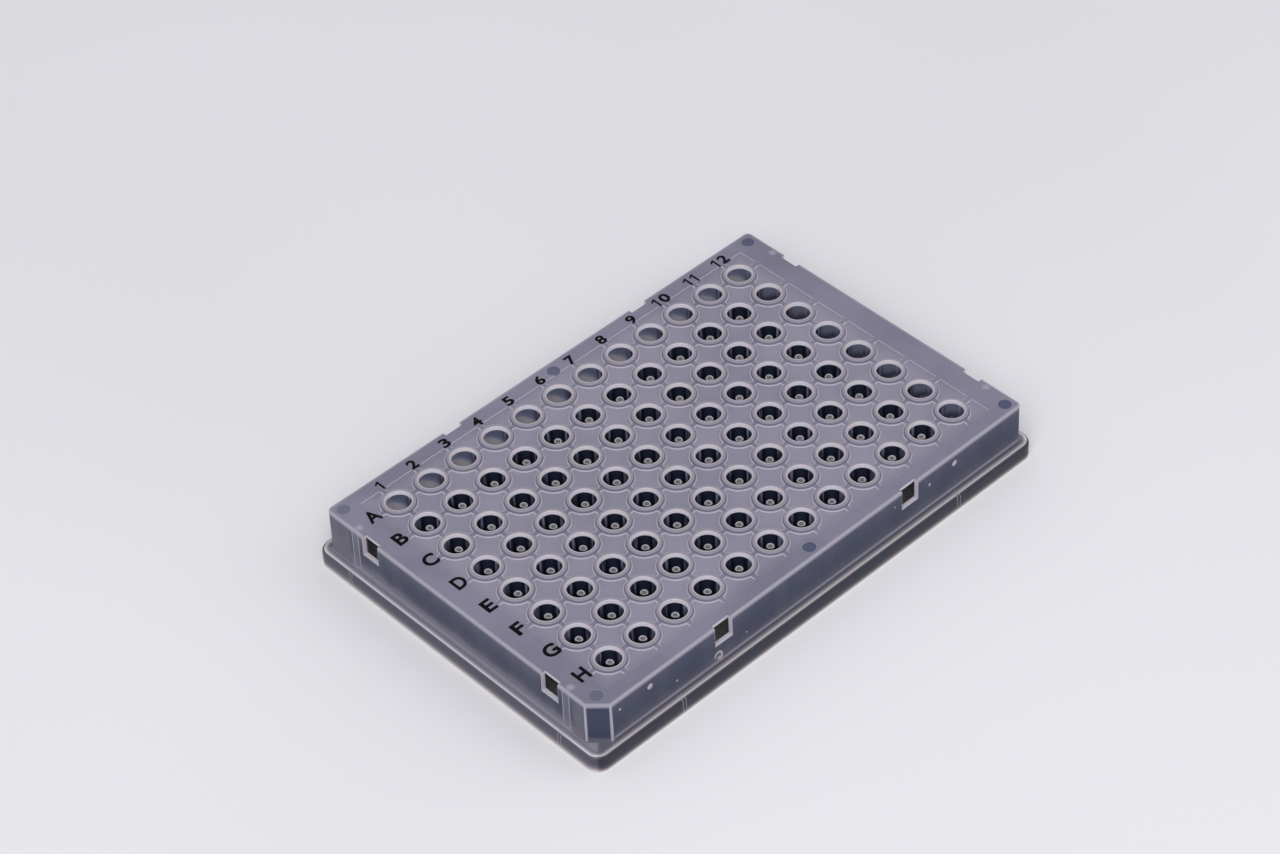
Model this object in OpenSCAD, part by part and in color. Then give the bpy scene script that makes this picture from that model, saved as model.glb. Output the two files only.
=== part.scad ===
// 96-place well plate with a full skirt, moulded in one piece from clear
// polypropylene. Millimetres. The origin is at the middle of the footprint on
// the surface the plate stands on; +Z is up, +X runs from column 1 to column
// 12 and +Y runs towards row A. Well A1 is at -X +Y, well H1 at -X -Y.

/* [Plate] */
// Distance from the end of the footprint to the axis of well A1
a1_x = 14.38; // [13.8:0.01:18]
// Distance from the long side of the footprint to the axis of well A1
a1_y = 11.24; // [10.9:0.01:14]
// Height from the standing surface to the well rims
plate_h = 15.1; // [14:0.1:22]

/* [Skirt] */
// Height of the outer base band
base_h = 4.0; // [2.5:0.1:6]
// Corner radius of the base band at the standing surface
base_r = 3.2; // [1.5:0.1:4]
// Set-in of the upper walls from the base band at the two ends
ledge_x = 2.55; // [1.2:0.05:2.8]
// Set-in of the upper walls from the base band at the two long sides
ledge_y = 2.05; // [1.2:0.05:2.4]
// Thickness of the skirt walls
wall = 1.05; // [0.7:0.05:1.15]
// Corner radius of the upper walls at the deck
upper_r = 1.3; // [1.2:0.1:2.5]
// Lean of all skirt walls from upright, for release from the mould
draft = 1.0; // [0:0.1:1.5]
// Rounding of the base band's upper edge
base_edge_r = 0.7; // [0.2:0.05:0.9]
// Rounding of the deck's outer edge
deck_edge_r = 0.3; // [0.1:0.05:0.6]
// Leg of the chamfered keying corner beside well H1
key_c = 3.6; // [2:0.1:4.5]

/* [Deck] */
// Thickness of the deck
deck_t = 1.1; // [0.8:0.05:1.6]
// Depth of the shallow panels between the wells
panel_d = 0.25; // [0.1:0.05:0.4]
// Width of the flat collar round each rim
collar_w = 0.35; // [0.15:0.05:0.45]
// Width of the flat webs that join neighbouring collars
web_w = 1.3; // [0.8:0.1:2]
// Reach of the panels beyond the end columns
panel_x = 5.7; // [4.6:0.1:6.2]
// Reach of the panels beyond the outer rows
panel_y = 5.4; // [4.6:0.1:6]
// Diameter of the six ejector marks in the deck
mark_d = 3.0; // [2:0.1:3.4]
// Depth of the ejector marks
mark_depth = 0.12; // [0.05:0.01:0.25]
// Distance of the ejector marks from the deck's outer edge
mark_in = 2.55; // [2:0.05:3]

/* [Wells] */
// Spacing of the wells
pitch = 9; // [8.8:0.05:11]
// Height of the raised rim above the deck
rim_h = 0.5; // [0.3:0.05:1.2]
// Radius of the bore at the mouth
bore_r = 2.75; // [2.4:0.05:2.9]
// Width of the rim at its top, before its lips are rounded
rim_w = 0.9; // [0.6:0.05:0.95]
// Rounding of the rim's outer lip
lip_r = 0.3; // [0.1:0.05:0.4]
// Rounding of the rim's inner lip
mouth_r = 0.15; // [0.05:0.05:0.25]
// Spread of the rim's outer face from its top to the deck
rim_flare = 0.1; // [0.05:0.05:0.3]
// Thickness of the tube walls below the deck
tube_wall = 0.4; // [0.3:0.05:0.5]
// Depth of the slow-taper part of the bore
barrel_h = 5.3; // [3:0.1:7]
// Narrowing of the bore's radius over the slow-taper part
barrel_draft = 0.1; // [0.02:0.02:0.2]
// Inside radius of the rounded tip
tip_r = 1.0; // [0.7:0.05:1.3]
// Height of the tube tips above the standing surface
tip_gap = 0.6; // [0.3:0.1:1.5]

/* [Notches and ribs] */
// Width of the rectangular notches in the upper walls
notch_w = 4.8; // [3:0.1:7]
// Depth of the notches below the deck's top face
notch_h = 5.2; // [3:0.1:8]
// Distance of the notches from the middle of each side, in well pitches
notch_at = 3; // [2:0.5:3]
// Width of the upright ribs inside the two ends
rib_w = 2.0; // [1:0.1:3]
// Reach of the upright ribs from the end walls
rib_reach = 1.2; // [0.6:0.1:2]
// Height of the ribs' round feet above the standing surface
rib_low = 3.3; // [2:0.1:6]
// Thickness of the gussets under the ledge
gusset_t = 0.6; // [0.4:0.05:1]
// Diameter of the two gate marks on the row H wall
gate_d = 1.5; // [1:0.1:2]
// Depth of the gate marks
gate_depth = 0.1; // [0.05:0.01:0.2]

/* [Hidden] */
$fn = 64;
rows = 8;
cols = 12;
plate_l = (cols - 1) * pitch + 2 * a1_x;
plate_w = (rows - 1) * pitch + 2 * a1_y;
deck_z = plate_h - rim_h;
under_z = deck_z - deck_t;
upper_l = plate_l - 2 * ledge_x;
upper_w = plate_w - 2 * ledge_y;
field_x = (cols - 1) / 2 * pitch;
field_y = (rows - 1) / 2 * pitch;
rim_top_r = bore_r + rim_w;
barrel_z = plate_h - barrel_h;
shoulder_r = bore_r - barrel_draft;
tip_z = tip_gap + tube_wall + tip_r;
rib_y = 3.52 * pitch;
gusset_x = 4.45 * pitch;
gate_z = deck_z - 2.8;
rim_lean = atan(rim_flare / rim_h);
bore_lean = atan(barrel_draft / barrel_h);
collar_r = rim_top_r + rim_flare + collar_w;

// What rounding takes off the upper edge of a section whose face leans out by
// an angle from the point r, z on its top.
module edge_cut(r, z, lean, edge) {
    d = edge * tan((90 - lean) / 2);
    difference() {
        polygon([
            [r - d, z + 1],
            [r - d, z - edge],
            [r - d + edge * cos(lean), z - edge + edge * sin(lean)],
            [r + d, z - edge + edge * sin(lean)],
            [r + d, z + 1]
        ]);
        translate([r - d, z - edge])
            circle(edge);
    }
}

// Section of a wall block, from the upright axis of its corner radius out to the
// leaning face: r is the radius at the height z1, and the upper edge is rounded.
module lean_section(r, z0, z1, edge) {
    foot = r + (z1 - z0) * tan(draft);
    difference() {
        polygon([[0, z0], [foot, z0], [r, z1], [0, z1]]);
        if (edge > 0)
            edge_cut(r, z1, draft, edge);
    }
}

// A block with leaning sides and round corners: l, w and r hold at the height z1.
module lean_block(l, w, r, z0, z1, edge) {
    for (q = [0, 1, 2, 3])
        rotate(q * 90) {
            long = q % 2 == 0 ? l : w;
            wide = q % 2 == 0 ? w : l;
            translate([long / 2 - r, wide / 2 - r, 0])
                rotate_extrude(angle = 90)
                    lean_section(r, z0, z1, edge);
            translate([long / 2 - r, wide / 2 - r, 0])
                rotate([90, 0, 0])
                    linear_extrude(wide - 2 * r)
                        lean_section(r, z0, z1, edge);
        }
    translate([r - l / 2, r - w / 2, z0])
        cube([l - 2 * r, w - 2 * r, z1 - z0]);
}

// What the keying corner takes off the block at H1; the hollow keeps clear of it
// by the wall.
module key_wedge(inset) {
    c = key_c - inset * (2 - sqrt(2));
    translate([inset - upper_l / 2, inset - upper_w / 2, -2])
        linear_extrude(plate_h + 4)
            polygon([[-4, -4], [c + 4, -4], [-4, c + 4]]);
}

module upper_block() {
    difference() {
        lean_block(upper_l, upper_w, upper_r, base_h - wall, deck_z, deck_edge_r);
        key_wedge(0);
    }
}

module base_block() {
    low = base_h * tan(draft);
    lean_block(plate_l - 2 * low, plate_w - 2 * low, base_r - low, 0, base_h, base_edge_r);
}

// The hollow under the deck, wider inside the base band than above the ledge.
module hollow() {
    low = base_h * tan(draft);
    difference() {
        lean_block(upper_l - 2 * wall, upper_w - 2 * wall, max(upper_r - wall, 0.2),
            -1, under_z, 0);
        key_wedge(wall);
    }
    lean_block(plate_l - 2 * low - 2 * wall, plate_w - 2 * low - 2 * wall,
        max(base_r - low - wall, 0.2), -1, base_h - wall, 0);
}

// Places its child at every well.
module at_wells() {
    for (i = [0 : cols - 1])
        for (j = [0 : rows - 1])
            translate([i * pitch - field_x, j * pitch - field_y, 0])
                children();
}

// Half outline of a tapered tube with a round tip: the taper meets the tip's arc
// where the two are tangent.
module tube_half(shoulder, mouth, r, top) {
    reach = sqrt(pow(shoulder, 2) + pow(barrel_z - tip_z, 2));
    a = atan2(barrel_z - tip_z, shoulder) - acos(r / reach);
    polygon([
        [0, tip_z + r * sin(a)],
        [r * cos(a), tip_z + r * sin(a)],
        [shoulder, barrel_z],
        [mouth, top],
        [0, top]
    ]);
    intersection() {
        translate([0, tip_z])
            circle(r);
        translate([0, tip_z - r])
            square([r, 2 * r]);
    }
}

// One well: a thin tapered tube, closed below, with its low rim, whose lips are
// rounded. The rim's outer face runs on down into the deck.
module well() {
    seat_z = deck_z - deck_t / 2;
    foot_r = rim_top_r + (plate_h - seat_z) * tan(rim_lean);
    rotate_extrude()
        difference() {
            union() {
                tube_half(shoulder_r + tube_wall, bore_r + tube_wall,
                    tip_r + tube_wall, seat_z);
                polygon([
                    [0, seat_z],
                    [foot_r, seat_z],
                    [rim_top_r, plate_h],
                    [0, plate_h]
                ]);
            }
            tube_half(shoulder_r, bore_r, tip_r, plate_h);
            edge_cut(rim_top_r, plate_h, rim_lean, lip_r);
            translate([2 * bore_r, 0])
                mirror([1, 0])
                    edge_cut(bore_r, plate_h, bore_lean, mouth_r);
        }
}

// The openings in the deck that the wells fill.
module deck_holes() {
    translate([0, 0, under_z - 1])
        linear_extrude(deck_t + 2)
            at_wells()
                circle(bore_r + tube_wall / 2);
}

// The shallow panels: the well field less a collar round each well and a web
// along each row and column.
module panels() {
    translate([0, 0, deck_z - panel_d])
        linear_extrude(panel_d + 1)
            difference() {
                square([2 * (field_x + panel_x), 2 * (field_y + panel_y)],
                    center = true);
                at_wells()
                    circle(collar_r);
                for (i = [0 : cols - 1])
                    translate([i * pitch - field_x, 0])
                        square([web_w, plate_w], center = true);
                for (j = [0 : rows - 1])
                    translate([0, j * pitch - field_y])
                        square([plate_l, web_w], center = true);
            }
}

// Eight notches, two in each side, cut through the wall and the deck's edge.
module notches() {
    low = deck_z - notch_h;
    lean = notch_h * tan(draft);
    deep = wall + 0.1;
    for (s = [-1, 1])
        for (t = [0, 180])
            rotate(t) {
                translate([s * notch_at * pitch - notch_w / 2, upper_w / 2 - deep, low])
                    cube([notch_w, deep + lean + 1, notch_h + 1]);
                translate([upper_l / 2 - deep, s * notch_at * pitch - notch_w / 2, low])
                    cube([deep + lean + 1, notch_w, notch_h + 1]);
            }
}

// Upright ribs with round feet inside both ends, near the corners.
module end_ribs() {
    inner = upper_l / 2 - wall;
    for (t = [0, 180])
        for (s = [-1, 1])
            rotate(t)
                translate([inner - rib_reach, s * rib_y, rib_low + rib_w / 2])
                    rotate([90, 0, 90])
                        linear_extrude(rib_reach + wall / 2) {
                            circle(rib_w / 2);
                            translate([-rib_w / 2, 0])
                                square([rib_w, under_z - rib_low - rib_w / 2 + deck_t / 2]);
                        }
}

// Short gussets under the ledge, tying the base band to the upper walls.
module gussets() {
    high = base_h - wall / 2;
    for (t = [0, 180])
        for (s = [-1, 1])
            rotate(t) {
                translate([s * gusset_x - gusset_t / 2, upper_w / 2 - wall / 2, 0.5])
                    cube([gusset_t, ledge_y, high - 0.5]);
                translate([upper_l / 2 - wall / 2, s * rib_y - gusset_t / 2, 0.5])
                    cube([ledge_x, gusset_t, high - 0.5]);
            }
}

// Round ejector marks: one by each corner and one at the middle of each long
// side. The one by the keying corner stands further in.
module marks() {
    x = upper_l / 2 - mark_in;
    y = upper_w / 2 - mark_in;
    for (p = [[x, y], [x, -y], [-x, y], [0.85 - x, 1.3 - y], [0, y], [0, -y]])
        translate([p[0], p[1], deck_z - mark_depth])
            cylinder(d = mark_d, h = 1);
}

// Two shallow round gate marks high on the row H wall.
module gate_marks() {
    face = upper_w / 2 + (deck_z - gate_z) * tan(draft);
    for (x = [-5.25 * pitch, 4.5 * pitch])
        translate([x, gate_depth - face, gate_z])
            rotate([90, 0, 0])
                cylinder(d = gate_d, h = 1);
}

module well_plate() {
    color([0.80, 0.80, 0.86])
        union() {
            difference() {
                union() {
                    base_block();
                    upper_block();
                }
                hollow();
                panels();
                marks();
                notches();
                gate_marks();
                deck_holes();
            }
            end_ribs();
            gussets();
            at_wells()
                well();
        }
}

well_plate();
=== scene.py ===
import math

import bpy
from mathutils import Matrix, Vector


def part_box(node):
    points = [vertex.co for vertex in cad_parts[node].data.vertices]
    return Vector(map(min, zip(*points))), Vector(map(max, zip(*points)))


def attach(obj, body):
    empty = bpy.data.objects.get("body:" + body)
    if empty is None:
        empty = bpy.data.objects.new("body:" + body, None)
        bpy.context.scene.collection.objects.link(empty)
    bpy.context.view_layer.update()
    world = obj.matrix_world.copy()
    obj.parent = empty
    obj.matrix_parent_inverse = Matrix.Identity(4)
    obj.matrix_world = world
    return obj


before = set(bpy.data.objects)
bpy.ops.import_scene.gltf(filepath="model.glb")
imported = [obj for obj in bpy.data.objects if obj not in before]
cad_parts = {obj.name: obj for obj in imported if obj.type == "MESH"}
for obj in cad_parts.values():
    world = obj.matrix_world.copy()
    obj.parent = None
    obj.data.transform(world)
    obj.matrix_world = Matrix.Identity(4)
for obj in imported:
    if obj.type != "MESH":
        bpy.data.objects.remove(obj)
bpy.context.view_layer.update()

MM = 0.001

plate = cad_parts["well_plate"]
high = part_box("well_plate")[1]

# Sizes of the plate that the finish and the print follow, in millimetres.
PITCH = 9.0
COLUMNS, ROWS = 12, 8
FIELD_X, FIELD_Y = (COLUMNS - 1) / 2 * PITCH, (ROWS - 1) / 2 * PITCH
HALF_L, HALF_W = high.x / MM, high.y / MM
RIM_Z = high.z / MM
DECK_Z = RIM_Z - 0.5
LEDGE_Z = 4.0
UPPER_L, UPPER_W = HALF_L - 2.55, HALF_W - 2.05
UPPER_ROUND, BASE_ROUND, KEY = 1.3, 3.2, 3.6
MOUTH_R, RIM_R, COLLAR_R = 2.75, 3.65, 4.1
PANEL_X, PANEL_Y = FIELD_X + 5.7, FIELD_Y + 5.4
NOTCH_AT, NOTCH_W, NOTCH_LOW = 3 * PITCH, 4.8, DECK_Z - 5.2


def srgb(r, g, b):
    """A screen colour, 0 to 255, as the linear colour that a socket takes."""
    def line(c):
        c /= 255
        return c / 12.92 if c <= 0.04045 else ((c + 0.055) / 1.055) ** 2.4
    return (line(r), line(g), line(b), 1.0)


# ---------------------------------------------------------------- node sheets

class Reading:
    """A number on a node sheet. Python arithmetic on it lays Math nodes."""

    def __init__(self, sheet, socket):
        self.sheet, self.socket = sheet, socket

    def _sum(self, operation, *others):
        return self.sheet.node("ShaderNodeMath", {"operation": operation}, [self, *others])

    def __add__(self, other): return self._sum("ADD", other)
    def __sub__(self, other): return self._sum("SUBTRACT", other)
    def __mul__(self, other): return self._sum("MULTIPLY", other)
    def __truediv__(self, other): return self._sum("DIVIDE", other)
    def __gt__(self, other): return self._sum("GREATER_THAN", other)
    def __lt__(self, other): return self._sum("LESS_THAN", other)
    def __abs__(self): return self._sum("ABSOLUTE")
    def __radd__(self, other): return self + other
    def __rmul__(self, other): return self * other

    def __rsub__(self, other):
        return self.sheet.node("ShaderNodeMath", {"operation": "SUBTRACT"}, [other, self])

    def least(self, other): return self._sum("MINIMUM", other)
    def most(self, other): return self._sum("MAXIMUM", other)
    def part(self): return self._sum("FRACT")
    def root(self): return self._sum("SQRT")

    def rise(self, start, end):
        """0 below start, 1 above end, smooth between."""
        return self.sheet.node(
            "ShaderNodeMapRange", {"interpolation_type": "SMOOTHSTEP"},
            {"Value": self, "From Min": start, "From Max": end})

    def fall(self, start, end):
        return 1.0 - self.rise(start, end)

    def band(self, start, end, soft):
        """1 from start to end, fading over soft outside them."""
        return self.rise(start - soft, start) * self.fall(end, end + soft)


class Sheet:
    """A material's node sheet."""

    def __init__(self, name):
        self.material = bpy.data.materials.new(name)
        self.material.use_nodes = True
        self.tree = self.material.node_tree
        self.tree.nodes.clear()
        self.drawn = 0

    def node(self, kind, settings=None, inputs=None, out=0):
        """Any node: its settings first, then the values or links of its sockets."""
        node = self.tree.nodes.new(kind)
        node.location = (self.drawn % 24 * 180, -(self.drawn // 24) * 220)
        self.drawn += 1
        for key, value in (settings or {}).items():
            if key == "stops":
                ramp = node.color_ramp
                for place, colour in value[1:-1]:
                    ramp.elements.new(place)
                for stop, (place, colour) in zip(ramp.elements, value):
                    stop.color = colour
            else:
                setattr(node, key, value)
        pairs = enumerate(inputs) if isinstance(inputs, (list, tuple)) else (inputs or {}).items()
        for key, value in pairs:
            socket = node.inputs[key]
            if isinstance(value, Reading):
                self.tree.links.new(value.socket, socket)
            else:
                socket.default_value = value
        if out is None:
            return node
        return Reading(self, node.outputs[out])

    def mix(self, amount, under, over):
        """A colour: under where amount is 0, over where it is 1."""
        return self.node("ShaderNodeMix", {"data_type": "RGBA"},
                         {0: amount, 6: under, 7: over}, out=2)

    def tones(self, reading, *stops):
        """A colour that follows a number: stops of the number and its screen colour."""
        first, last = stops[0][0], stops[-1][0]
        stops = [((at - first) / (last - first), srgb(*tone)) for at, tone in stops]
        return self.node("ShaderNodeValToRGB", {"stops": stops},
                         [(reading - first) / (last - first)])

    def place(self):
        """The point on the piece in millimetres, as a vector."""
        spot = self.node("ShaderNodeTexCoord", out=3)
        return self.node("ShaderNodeVectorMath", {"operation": "SCALE"}, {0: spot, 3: 1 / MM})

    def numbers(self, spot):
        """The three numbers of a vector."""
        split = self.node("ShaderNodeSeparateXYZ", inputs=[spot], out=None)
        return [Reading(self, socket) for socket in split.outputs]

    def stretched(self, spot, x, y, z):
        return self.node("ShaderNodeVectorMath", {"operation": "MULTIPLY"}, [spot, (x, y, z)])

    def clouds(self, spot, scale, detail=2.0, roughness=0.5):
        return self.node("ShaderNodeTexNoise", None,
                         {"Vector": spot, "Scale": scale, "Detail": detail, "Roughness": roughness})

    def bump(self, strength, depth, height):
        """A bump whose full height is depth, in millimetres."""
        return self.node("ShaderNodeBump", None,
                         {"Strength": strength, "Distance": depth * MM, "Height": height})

    def finish(self, **sockets):
        """One Principled shader; a name takes its value or its link."""
        words = {k.replace("_", " "): v for k, v in sockets.items()}
        shader = self.node("ShaderNodeBsdfPrincipled", None, words)
        self.node("ShaderNodeOutputMaterial", None, [shader], out=None)
        return self.material


# ------------------------------------------------------------ clear plastic

def round_box(x, y, half_x, half_y, corner):
    """Distance out from a rectangle with round corners; negative inside it."""
    qx, qy = abs(x) - (half_x - corner), abs(y) - (half_y - corner)
    px, py = qx.most(0.0), qy.most(0.0)
    return (px * px + py * py).root() + qx.most(qy).least(0.0) - corner


RIB_Y, GUSSET_X = 31.68, 40.05
GATE_Z = DECK_Z - 2.8
TIP_Z = 10.8  # where a painted glint of a neighbour's tip shows in a bore
# Ejector marks: place on the deck, how clear.
EJECTORS = ((58.8, 38.1, 0.9), (58.8, -38.1, 1.0), (0.0, 38.1, 0.8), (0.0, -38.1, 1.0),
            (-58.8, 38.1, 0.5), (-57.9, -36.85, 0.5))
# Gate marks and flecks on the row H wall: place along it, height, radius.
GATES = ((-47.25, GATE_Z, 0.75), (40.5, GATE_Z, 0.75), (-55.4, 11.6, 0.3), (-40.1, 8.0, 0.25),
         (32.9, 10.9, 0.35), (22.5, 11.6, 0.2), (-20.7, 7.3, 0.2))


def far(dx, dy):
    return (dx * dx + dy * dy).root()


class Plan:
    """Where a point lies on the plate: on the deck, at a well, out at the skirt."""

    def __init__(self, x, y, z):
        self.x, self.y, self.z = x, y, z
        self.far_x, self.far_y = abs(x), abs(y)
        self.field = (self.far_x < FIELD_X + PITCH / 2) * (self.far_y < FIELD_Y + PITCH / 2)
        # From the nearest well's axis.
        self.ux = ((x / PITCH).part() - 0.5) * PITCH
        self.uy = ((y / PITCH).part() - 0.5) * PITCH
        self.r = far(self.ux, self.uy).most(0.01)
        # Out past the outlines of the upper wall and of the base.
        upper = round_box(x, y, UPPER_L, UPPER_W, UPPER_ROUND)
        self.key = (x + y + (UPPER_L + UPPER_W - KEY)) * (-1 / math.sqrt(2))
        self.out = upper.most(self.key)
        self.base = round_box(x, y, HALF_L, HALF_W, BASE_ROUND)
        # 1 on the short ends of the skirt, 0 on its long sides.
        self.end = ((self.far_x - HALF_L) - (self.far_y - HALF_W)).rise(-0.8, 0.8)


def deck_tone(s, p, mottle):
    """Lilac grey, paler in the recessed panels and along every edge that catches light."""
    deck = s.mix(mottle.rise(0.35, 0.65), srgb(118, 116, 133), srgb(130, 127, 145))
    inset = (p.far_x < PANEL_X + 0.06) * (p.far_y < PANEL_Y + 0.06)
    rise_in = (p.far_x - PANEL_X).most(p.far_y - PANEL_Y).fall(-3.0, 0.0)
    panel = p.z.fall(DECK_Z - 0.22, DECK_Z - 0.18) * inset * (0.3 + 0.7 * rise_in)
    pale = s.mix(mottle.rise(0.3, 0.7), srgb(132, 130, 145), srgb(144, 141, 156))
    deck = s.mix(panel, deck, pale)

    # The step down into a panel and a line along its upper edge, painted as highlights.
    step_highlight = p.z.band(DECK_Z - 0.20, DECK_Z - 0.03, 0.02) * inset
    pocket = (abs(p.ux) > 0.62) * (abs(p.uy) > 0.62) * inset
    edge = p.r.band(COLLAR_R - 0.17, COLLAR_R + 0.03, 0.06) * pocket * p.field
    webs = (abs(p.ux).band(0.52, 0.68, 0.05) * (abs(p.uy) > COLLAR_R - 0.1)).most(
        abs(p.uy).band(0.52, 0.68, 0.05) * (abs(p.ux) > COLLAR_R - 0.1)) * inset
    hem_y = (p.far_y - PANEL_Y).band(-0.05, 0.10, 0.06) * (abs(p.ux) > 0.6)
    hem_x = (p.far_x - PANEL_X).band(-0.05, 0.10, 0.06) * (abs(p.uy) > 0.6)
    hem = (hem_y * (p.far_x < PANEL_X)).most(hem_x * (p.far_y < PANEL_Y))
    deck = s.mix((edge * 0.7).most(webs * 0.8).most(hem * 0.2), deck, srgb(184, 178, 191))
    deck = s.mix(step_highlight, deck, srgb(222, 214, 226))

    # The rims: rosy and milky at the mouth with painted highlight lines, and a painted shade line
    # round the foot.
    foot_shade = p.r.band(RIM_R + 0.02, RIM_R + 0.14, 0.1) * p.field
    deck = s.mix(foot_shade * 0.4, deck, srgb(100, 98, 113))
    rim = p.z.rise(DECK_Z + 0.05, DECK_Z + 0.2) * p.r.fall(RIM_R + 0.1, RIM_R + 0.15) * p.field
    deck = s.mix(rim, deck, s.tones(
        p.r, (2.75, (200, 192, 202)), (2.95, (176, 168, 177)), (3.15, (148, 143, 154)),
        (3.40, (141, 137, 149)), (3.55, (147, 142, 154)), (3.68, (128, 125, 139))))

    # Over the skirt's wall the deck is milky, with a painted highlight along its rounded edge, and
    # the ejector marks are clear.
    over = p.out.rise(-0.75, -0.10) * p.z.rise(DECK_Z - 0.5, DECK_Z - 0.2)
    deck = s.mix(over * 0.9, deck, srgb(166, 161, 173))
    ribs = far(p.far_x - 60.0, p.far_y - RIB_Y).fall(0.3, 1.2)
    deck = s.mix(ribs * 0.6, deck, srgb(170, 166, 178))
    for mx, my, depth in EJECTORS:
        disc = far(p.x - mx, p.y - my)
        deck = s.mix(disc.fall(1.40, 1.50) * depth, deck, srgb(78, 82, 108))
        deck = s.mix(disc.band(1.46, 1.58, 0.05) * 0.5, deck, srgb(150, 147, 160))
    return deck, rim


def bore_tone(s, p, streak):
    """Deep navy painted shade, with painted glints where the next tubes stand close and where their
    tips show through.
    """
    # Painted shade: the bore is deep navy, darkest between its axes and its diagonals.
    quarter = (abs(p.ux) + abs(p.uy)) / (p.r * math.sqrt(2))
    bore = s.tones(
        quarter, (0.70, (56, 60, 80)), (0.80, (36, 39, 56)), (0.87, (14, 16, 24)),
        (0.93, (28, 31, 47)), (1.0, (35, 39, 58)))
    # Painted glints of the next tubes, seen through the bore's wall.
    gleam = quarter.fall(0.76, 0.84) * streak.rise(0.45, 0.6) * p.z.rise(10.0, 12.5)
    bore = s.mix(gleam, bore, srgb(128, 131, 160))
    # Past the outer wells stands no tube, only the pale skirt, so their outer sides are painted as
    # lit, brightest low down.
    side_y = (p.far_y > FIELD_Y - PITCH / 2) * (p.far_y - FIELD_Y).rise(-0.4, 1.4)
    side_x = (p.far_x > FIELD_X - PITCH / 2) * (p.far_x - FIELD_X).rise(-0.4, 1.4)
    bore = s.mix(side_x * 0.7, bore, s.tones(
        p.z + p.uy * 0.5 + streak * 2.0, (10.0, (216, 212, 222)), (11.6, (182, 179, 193)),
        (12.4, (90, 92, 112)), (13.0, (74, 77, 98)), (14.4, (120, 122, 144))))
    bore = s.mix(side_y * 0.9, bore, s.tones(
        p.z + p.ux * 0.6, (10.5, (232, 226, 232)), (12.2, (190, 186, 196)),
        (13.2, (120, 124, 150)), (14.2, (96, 100, 124))))
    # A painted glint: a neighbour's bright tip, painted as a ring at each diagonal of the bore.
    across = (abs(p.ux) - abs(p.uy)) / math.sqrt(2)
    tip = far(across, (p.z - TIP_Z) * 1.05)
    inner = (1.0 - side_x) * (1.0 - side_y) * (p.z < 12.5)
    tip_glint = tip.band(0.52, 0.80, 0.10).most(tip.fall(0.2, 0.7) * 0.45)
    bore = s.mix(tip_glint * inner, bore, srgb(250, 246, 250))
    # A painted glow down the bore below the mouth, where light scatters in the plastic.
    mouth_glow = p.z.rise(RIM_Z - 1.05, RIM_Z - 0.80)
    bore = s.mix(mouth_glow, bore, s.tones(
        p.z, (RIM_Z - 1.05, (150, 147, 165)), (RIM_Z - 0.75, (240, 236, 246)),
        (RIM_Z - 0.35, (232, 226, 236)), (RIM_Z, (210, 202, 212))))
    # A painted glow ring at the bottom of the tube.
    bottom_glow = p.r.band(0.45, 0.85, 0.1) * p.z.fall(1.5, 1.8)
    return s.mix(bottom_glow, bore, srgb(206, 200, 210)), bottom_glow


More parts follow.
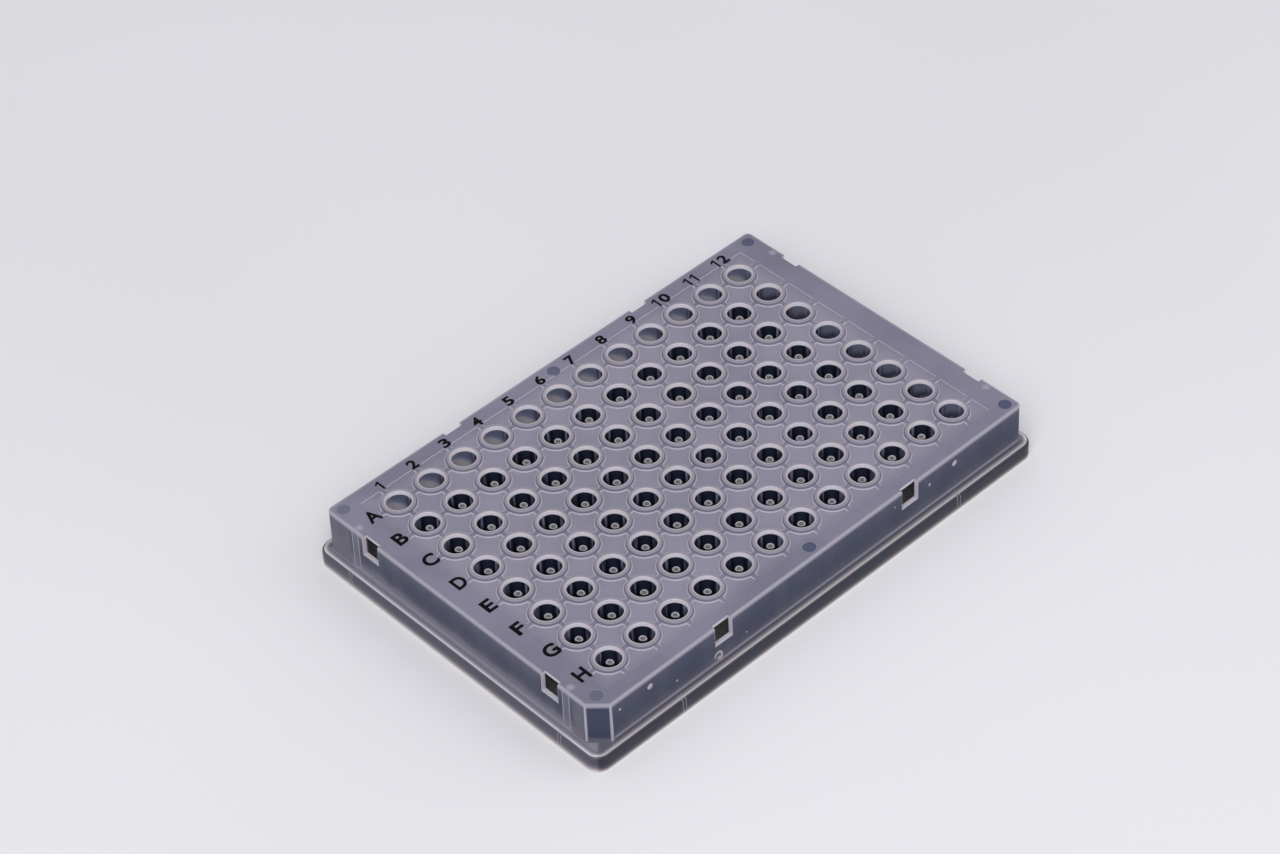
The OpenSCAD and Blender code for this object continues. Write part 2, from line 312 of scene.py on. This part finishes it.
def skirt_tone(s, p, haze):
    """A smoky blue wall over a clear flange, with milky lines where the plastic turns, painted as
    highlights.
    """
    end_wall = s.tones(
        p.z, (4.3, (150, 148, 158)), (5.0, (124, 122, 134)), (6.0, (114, 112, 126)),
        (7.0, (88, 89, 104)), (8.0, (73, 75, 92)), (9.6, (65, 70, 89)),
        (11.4, (70, 74, 94)), (13.3, (84, 85, 101)))
    end_wall = s.mix(p.far_y.rise(32.6, 34.0) * 0.9, end_wall, s.tones(
        p.z, (4.3, (120, 117, 126)), (7.0, (108, 105, 117)), (11.0, (98, 96, 110)),
        (13.3, (96, 95, 110))))
    side_wall = s.tones(
        p.z, (4.2, (88, 87, 99)), (5.8, (84, 83, 96)), (6.6, (75, 77, 92)),
        (7.6, (64, 67, 85)), (9.2, (61, 65, 86)), (11.0, (63, 67, 89)), (13.3, (74, 76, 96)))
    side_wall = s.mix(p.z.band(4.75, 5.10, 0.45) * 0.9, side_wall, srgb(138, 136, 148))
    wall = s.mix(p.end, side_wall, end_wall)
    smoke = haze.rise(0.35, 0.65) * p.z.band(6.5, 12.8, 1.0)
    wall = s.mix(smoke * 0.4, wall, srgb(42, 47, 74))
    on_key = p.key.rise(-0.30, -0.18)
    wall = s.mix(on_key, wall, s.tones(
        p.z, (4.3, (107, 106, 119)), (5.6, (62, 66, 88)), (14.0, (56, 60, 84))))
    # A painted highlight along the wall's rounded top edge.
    wall = s.mix(p.z.rise(13.40, 14.30), wall, srgb(160, 156, 168))

    # Painted highlights: the base band is lightest at its foot and the ledge along its rounded
    # outer edge.
    end_band = s.tones(
        p.z, (0.25, (214, 206, 205)), (0.6, (186, 178, 180)), (0.95, (146, 140, 144)),
        (1.4, (116, 111, 119)), (1.9, (92, 90, 101)), (2.5, (75, 75, 89)),
        (3.5, (77, 77, 91)), (4.0, (96, 92, 102)))
    side_band = s.tones(
        p.z, (0.15, (204, 197, 196)), (0.35, (176, 168, 168)), (0.6, (140, 132, 134)),
        (0.9, (98, 92, 96)), (1.3, (68, 66, 74)), (2.0, (47, 48, 62)),
        (3.5, (46, 47, 61)), (4.0, (70, 68, 78)))
    end_ledge = s.tones(
        p.base, (-2.3, (139, 137, 149)), (-1.8, (119, 117, 130)), (-1.3, (133, 130, 142)),
        (-0.9, (196, 189, 197)), (-0.6, (212, 204, 210)), (-0.25, (178, 171, 177)),
        (0.0, (104, 100, 110)))
    side_ledge = s.tones(
        p.base, (-1.8, (96, 94, 107)), (-1.5, (105, 102, 112)), (-1.2, (144, 138, 144)),
        (-0.8, (187, 180, 182)), (-0.5, (172, 165, 169)), (-0.27, (110, 105, 110)),
        (0.0, (64, 62, 72)))
    band = s.mix(p.end, side_band, end_band)
    ledge = s.mix(p.end, side_ledge, end_ledge)
    on_ledge = p.z.rise(LEDGE_Z - 0.06, LEDGE_Z - 0.02)
    flange = p.out.rise(0.22, 0.26) * p.z.fall(LEDGE_Z + 0.05, LEDGE_Z + 0.1)
    wall = s.mix(flange, wall, s.mix(on_ledge, band, ledge))

    # Ribs behind the ends, with round feet, and gussets under the ledge.
    beside = p.far_y - RIB_Y
    rib = far(beside, (p.z - 5.4).least(0.0) * 0.8)
    on_rib = p.end * p.out.fall(0.24, 0.28) * p.z.fall(13.4, 14.2)
    wall = s.mix(rib.fall(0.9, 1.0) * on_rib * 0.45, wall, srgb(126, 124, 137))
    wall = s.mix(rib.band(0.88, 1.04, 0.08) * on_rib * 0.85, wall, srgb(164, 160, 172))
    end_gusset = abs(beside).band(0.34, 0.50, 0.06) * p.end
    side_gusset = abs(p.far_x - GUSSET_X).band(0.34, 0.50, 0.06) * (1.0 - p.end)
    gusset = end_gusset.most(side_gusset) * p.out.rise(0.2, 0.4) * p.z.rise(0.7, 1.0)
    wall = s.mix(gusset * 0.6, wall, srgb(150, 147, 158))

    # The cut faces of the notches, the key's two corners, the marks and a curled smear.
    along = abs(p.far_x - NOTCH_AT).least(abs(p.far_y - NOTCH_AT))
    cut = along.fall(NOTCH_W / 2 + 0.02, NOTCH_W / 2 + 0.06) * p.out.rise(-1.35, -1.3)
    cut = cut * p.z.rise(NOTCH_LOW - 0.06, NOTCH_LOW - 0.02)
    wall = s.mix(cut, wall, srgb(198, 192, 201))
    for cx, cy in ((-UPPER_L + KEY, -UPPER_W), (-UPPER_L, -UPPER_W + KEY)):
        corner = far(p.x - cx, p.y - cy).fall(0.14, 0.42) * p.z.rise(LEDGE_Z, LEDGE_Z + 0.3)
        wall = s.mix(corner * 0.9, wall, srgb(172, 168, 178))
    on_row_h = p.y < -40.0
    for gx, gz, size in GATES:
        dot = far(p.x - gx, p.z - gz).fall(size - 0.1, size + 0.08) * on_row_h
        wall = s.mix(dot * 0.9, wall, srgb(186, 178, 182))
    loop = far(p.x + 28.7, (p.z - 6.3) * 0.85).band(0.8, 1.15, 0.2)
    blot = far(p.x + 28.6, p.z - 5.6).fall(0.4, 1.0)
    smear = loop.most(blot) * (p.x + p.z).rise(-24.0, -22.4) * on_row_h
    return s.mix(smear * 0.8, wall, srgb(178, 172, 176))


def clear_polypropylene():
    s = Sheet("clear_polypropylene")
    spot = s.place()
    p = Plan(*s.numbers(spot))
    mottle = s.clouds(spot, 0.045, 3.0, 0.6)
    grain = s.clouds(spot, 1.6, 2.0, 0.6)
    flow = s.clouds(s.stretched(spot, 0.02, 0.35, 0.1), 1.0, 3.0, 0.6)
    streak = s.clouds(s.stretched(spot, 1.3, 1.3, 0.08), 1.0, 3.0, 0.65)
    haze = s.clouds(s.stretched(spot, 0.8, 0.8, 0.25), 0.25, 3.0, 0.6)

    deck, rim = deck_tone(s, p, mottle)
    bore, bottom_glow = bore_tone(s, p, streak)
    inside = p.r.fall(MOUTH_R + 0.02, MOUTH_R + 0.05) * p.field
    deck = s.mix(inside, deck, bore)
    # Painted shade: the underside of the deck and the tubes under it are near black, with the
    # painted glow ring at the tips.
    under = s.mix(streak.rise(0.4, 0.7), srgb(6, 7, 11), srgb(12, 13, 20))
    under = s.mix(bottom_glow, under, srgb(150, 147, 158))
    under = s.mix(inside, under, bore)
    wall = skirt_tone(s, p, haze)

    top = p.z.rise(DECK_Z - 0.32, DECK_Z - 0.30)
    skirt = p.out.rise(-3.3, -3.2) * (1.0 - top)
    colour = s.mix(skirt, s.mix(top, under, deck), wall)
    rough = 0.30 + 0.12 * grain - rim * 0.12
    bump = s.bump(0.12, 0.06, grain + flow)
    return s.finish(Base_Color=colour, Roughness=rough, Specular_IOR_Level=0.2, Normal=bump)


plate.material_slots[0].material = clear_polypropylene()


# ------------------------------------------------------------------- print

def label_ink():
    s = Sheet("label_ink")
    spot = s.place()
    body = s.clouds(spot, 1.1, 3.0, 0.6)
    speck = s.clouds(spot, 7.0, 2.0, 0.6)
    colour = s.mix(body.rise(0.4, 0.7), srgb(2, 2, 3), srgb(9, 8, 11))
    colour = s.mix(speck.rise(0.70, 0.76) * 0.5, colour, srgb(70, 68, 76))
    return s.finish(Base_Color=colour, Roughness=0.5 + 0.2 * body, Specular_IOR_Level=0.1,
                    Normal=s.bump(0.2, 0.02, speck))


INK = label_ink()
# The print, in millimetres: thickness of the film, size that characters are
# made at before they are fitted, and how far their strokes are thickened.
FILM, TYPE, BOLD = 0.02, 5, 0.16


def flat(kind, word=""):
    """One character as a thin mesh of ink, at its natural size."""
    bpy.ops.object.select_all(action="DESELECT")
    if kind == "one":
        # The font's 1 is a bare stroke, so this one has its flag drawn in.
        bpy.ops.curve.primitive_bezier_curve_add(location=(0, 0, 0))
        line = bpy.context.object.data
        line.splines.clear()
        edge = line.splines.new("POLY")
        corners = [(0, 0), (0, 1), (-0.12, 1), (-0.41, 0.80), (-0.41, 0.63),
                   (-0.165, 0.79), (-0.165, 0)]
        edge.points.add(len(corners) - 1)
        for point, (px, py) in zip(edge.points, corners):
            point.co = (px * TYPE * MM, py * TYPE * MM, 0, 1)
        edge.use_cyclic_u = True
        line.dimensions, line.fill_mode = "2D", "BOTH"
    else:
        bpy.ops.object.text_add(location=(0, 0, 0))
        line = bpy.context.object.data
        line.body = word
        line.size, line.offset, line.resolution_u = TYPE * MM, BOLD * MM, 6
    line.extrude = FILM / 2 * MM
    bpy.ops.object.convert(target="MESH")
    return bpy.context.object


def printed(characters, height, start, middle):
    """Printed characters, upright along +Y: each one, how far along it starts, how wide it is."""
    signs = []
    for word, along, width in characters:
        sign = flat("one") if word == "1" else flat("text", word)
        xs, ys = [v.co.x for v in sign.data.vertices], [v.co.y for v in sign.data.vertices]
        wide, tall = max(xs) - min(xs), max(ys) - min(ys)
        grow = Matrix.Diagonal((width * MM / wide, height * MM / tall, 1, 1))
        seat = Matrix.Translation(((start + along) * MM, (middle - height / 2) * MM,
                                   (DECK_Z + FILM / 2) * MM))
        sign.data.transform(seat @ grow @ Matrix.Translation((-min(xs), -min(ys), 0)))
        signs.append(sign)
    bpy.ops.object.select_all(action="DESELECT")
    for sign in signs:
        sign.select_set(True)
    bpy.context.view_layer.objects.active = signs[0]
    if len(signs) > 1:
        bpy.ops.object.join()
    sign = signs[0]
    bpy.ops.object.mode_set(mode="EDIT")
    bpy.ops.mesh.select_all(action="SELECT")
    bpy.ops.mesh.remove_doubles(threshold=1e-7)
    bpy.ops.mesh.normals_make_consistent(inside=False)
    bpy.ops.object.mode_set(mode="OBJECT")
    sign.data.materials.clear()
    sign.data.materials.append(INK)
    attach(sign, "root")
    return sign


# Widths and heights of the characters and where they stand, in millimetres.
LETTER_WIDE = {"A": 3.15, "B": 2.7, "C": 3.2, "D": 2.9, "E": 2.55, "F": 2.5, "G": 3.35, "H": 2.9}
LETTER_TALL, LETTER_LEFT, LETTER_UP = 3.5, -57.6, 0.75
DIGIT_WIDE = {"0": 2.3, "1": 1.2}
OTHER_DIGIT_WIDE, DIGIT_GAP = 2.1, 0.8
DIGIT_TALL, DIGIT_RIGHT, DIGIT_Y = 2.8, 0.35, 38.0

for i, letter in enumerate("ABCDEFGH"):
    sign = printed([(letter, 0, LETTER_WIDE[letter])], LETTER_TALL, LETTER_LEFT,
                   FIELD_Y - i * PITCH + LETTER_UP)
    sign.name = "row_" + letter

for i in range(COLUMNS):
    word, along, characters = str(i + 1), 0.0, []
    for digit in word:
        width = DIGIT_WIDE.get(digit, OTHER_DIGIT_WIDE)
        characters.append((digit, along, width))
        along += width + DIGIT_GAP
    start = -FIELD_X + i * PITCH + DIGIT_RIGHT - (along - DIGIT_GAP) / 2
    sign = printed(characters, DIGIT_TALL, start, DIGIT_Y)
    sign.name = "column_" + word


# --------------------------------------------------------- bench, light, camera

def bench_top():
    s = Sheet("bench_top")
    spot = s.place()
    tone = s.clouds(spot, 0.004, 2.0, 0.5)
    colour = s.mix(tone.rise(0.3, 0.7), srgb(226, 226, 229), srgb(231, 231, 234))
    return s.finish(Base_Color=colour, Roughness=0.75)


bpy.ops.object.select_all(action="DESELECT")
bpy.ops.mesh.primitive_plane_add(size=30, location=(0, 0, 0))
bench = bpy.context.object
bench.name = "bench"
bench.data.materials.append(bench_top())

world = bpy.data.worlds.new("studio")
bpy.context.scene.world = world
world.use_nodes = True
backdrop = world.node_tree.nodes["Background"]
backdrop.inputs["Color"].default_value = (0.95, 0.96, 1.0, 1)
backdrop.inputs["Strength"].default_value = 0.54


def softbox(name, spot, aim, size, power):
    bpy.ops.object.select_all(action="DESELECT")
    bpy.ops.object.light_add(type="AREA", location=spot)
    lamp = bpy.context.object
    lamp.name = name
    lamp.data.shape = "SQUARE"
    lamp.data.size = size
    lamp.data.energy = power
    lamp.rotation_euler = (Vector(aim) - Vector(spot)).to_track_quat("-Z", "Y").to_euler()


softbox("key", (-0.75, -0.6, 1.15), (0, 0, 0), 1.0, 13)
softbox("fill", (0.9, -0.7, 0.9), (0, 0, 0), 1.2, 3.2)

camera = bpy.data.objects.new("camera", bpy.data.cameras.new("camera"))
bpy.context.scene.collection.objects.link(camera)
bpy.context.scene.camera = camera
right = Vector((0.721811, -0.691069, -0.037575))
up = Vector((0.492816, 0.475103, 0.728978))
ahead = Vector((0.485922, 0.544702, -0.683505))
turn = Matrix((right, up, -ahead)).transposed().to_4x4()
camera.matrix_world = Matrix.Translation((-0.359062, -0.391212, 0.520633)) @ turn
camera.data.sensor_width = 36
camera.data.lens = 99.27
camera.data.clip_start, camera.data.clip_end = 0.01, 60

bpy.context.scene.view_settings.view_transform = "Standard"

bpy.context.view_layer.update()
